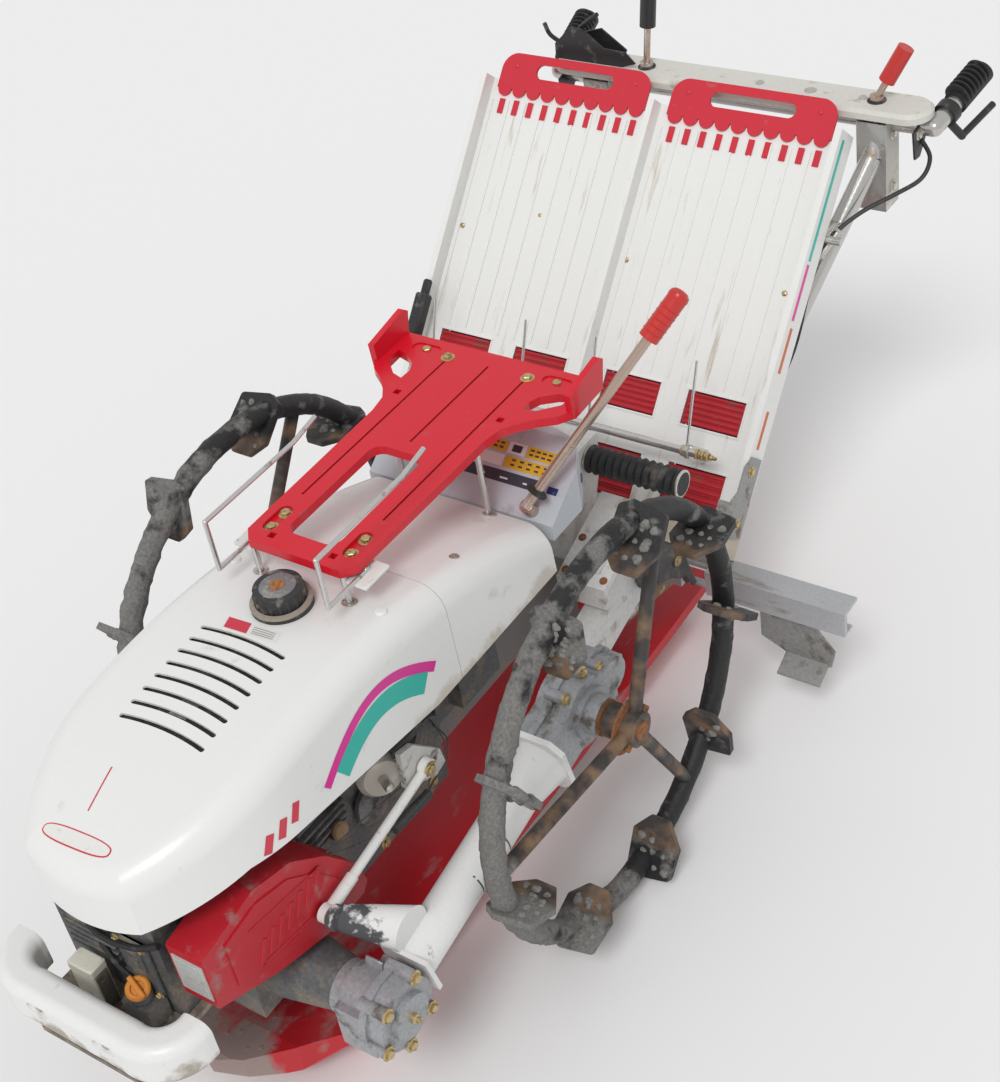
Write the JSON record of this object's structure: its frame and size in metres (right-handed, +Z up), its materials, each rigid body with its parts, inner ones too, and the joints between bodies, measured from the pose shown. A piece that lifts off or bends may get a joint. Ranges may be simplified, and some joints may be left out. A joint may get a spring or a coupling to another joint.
{
  "type": "rice transplanter",
  "caption": "Walk-behind rice transplanter with hooded engine, lugged wire wheels, centre float, sloping sliding seedling table, planting claws, rack and rear handles.",
  "frame": {"origin": "on the ground under the middle of the overall width and length", "axes": "+Z up, -Y towards the front bumper, +X towards the machine's left as an operator walking behind it sees it"},
  "size_m": [0.792, 1.682, 0.8051],
  "materials": {
    "hood": "semi-gloss white",
    "fuel_cap": "dusty black",
    "engine": "oily dark grey",
    "red_plastic": "scuffed red",
    "float": "worn red with dried mud",
    "lens": "ribbed clear",
    "bumper": "white with scuffs",
    "base_plate": "dirty grey",
    "front_box": "cream",
    "fuel_tap": "dark grey",
    "leg_paint": "white paint worn at the edges",
    "aluminium": "raw cast, dull",
    "white_cast": "white painted casting",
    "frame_steel": "grey painted steel",
    "wheel_rubber": "black with grey dried mud",
    "console": "pale grey",
    "bellows": "black",
    "bright_steel": "plated rod",
    "claw_steel": "dark steel",
    "table": "white",
    "panel": "beige white",
    "grip": "black",
    "red_grip": "red grip"
  },
  "bodies": {
    "chassis": {"hood_front": "hood", "hood_rear": "hood", "fuel_cap": "fuel_cap", "engine": "engine", "transmission": "engine", "side_cover": "red_plastic", "rack": "red_plastic", "float": "float", "lamp_lens": "lens", "bumper": "bumper", "base_plate": "base_plate", "front_box": "front_box", "fuel_tap": "fuel_tap", "swing_legs": "leg_paint", "lift_links": "leg_paint", "gear_cases": "aluminium", "wheel_cases": "aluminium", "rail": "aluminium", "rail_ends": "aluminium", "planting_cases": "white_cast", "case_covers": "white_cast", "main_beam": "frame_steel", "handle_frame": "frame_steel", "lift_bracket": "frame_steel", "console": "console", "bellows": "bellows", "rack_rods": "bright_steel", "lever_rods": "bright_steel", "handle_panel": "panel", "handle_grips": "grip", "clutch_levers": "grip", "lever_grips": "red_grip"},
    "wheel_left": {"wheel_left": "wheel_rubber"},
    "wheel_right": {"wheel_right": "wheel_rubber"},
    "seedling_table": {"table_panel": "table", "table_belts": "red_plastic", "table_plates": "red_plastic", "presser": "bright_steel"},
    "crank_left": {"planting_crank_left": "claw_steel"},
    "crank_right": {"planting_crank_right": "claw_steel"},
    "arm_left": {"planting_arm_left": "claw_steel"},
    "arm_right": {"planting_arm_right": "claw_steel"}
  },
  "joints": [
    {"name": "wheel_left_turn", "type": "hinge", "parent": "chassis", "child": "wheel_left", "pos_m": [0.279, -0.1607, 0.305], "axis": [1, 0, 0], "continuous": true},
    {"name": "wheel_right_turn", "type": "hinge", "parent": "chassis", "child": "wheel_right", "pos_m": [-0.279, -0.1607, 0.305], "axis": [1, 0, 0], "continuous": true},
    {"name": "table_slide", "type": "slide", "parent": "chassis", "child": "seedling_table", "axis": [1, 0, 0], "range_m": [-0.046, 0.234]},
    {"name": "planting_drive", "type": "hinge", "parent": "chassis", "child": "crank_left", "pos_m": [0.14, 0.1393, 0.25], "axis": [1, 0, 0], "continuous": true},
    {"name": "arm_left_turn", "type": "hinge", "parent": "crank_left", "child": "arm_left", "pos_m": [0.16, 0.16874, 0.267], "axis": [1, 0, 0], "continuous": true},
    {"name": "crank_right_turn", "type": "hinge", "parent": "chassis", "child": "crank_right", "pos_m": [-0.14, 0.1393, 0.25], "axis": [1, 0, 0], "continuous": true},
    {"name": "arm_right_turn", "type": "hinge", "parent": "crank_right", "child": "arm_right", "pos_m": [-0.16, 0.10986, 0.233], "axis": [1, 0, 0], "continuous": true}
  ],
  "couplings": [
    {"joint": "arm_left_turn", "follows": "planting_drive", "ratio": -1},
    {"joint": "crank_right_turn", "follows": "planting_drive", "ratio": 1},
    {"joint": "arm_right_turn", "follows": "planting_drive", "ratio": -1}
  ]
}
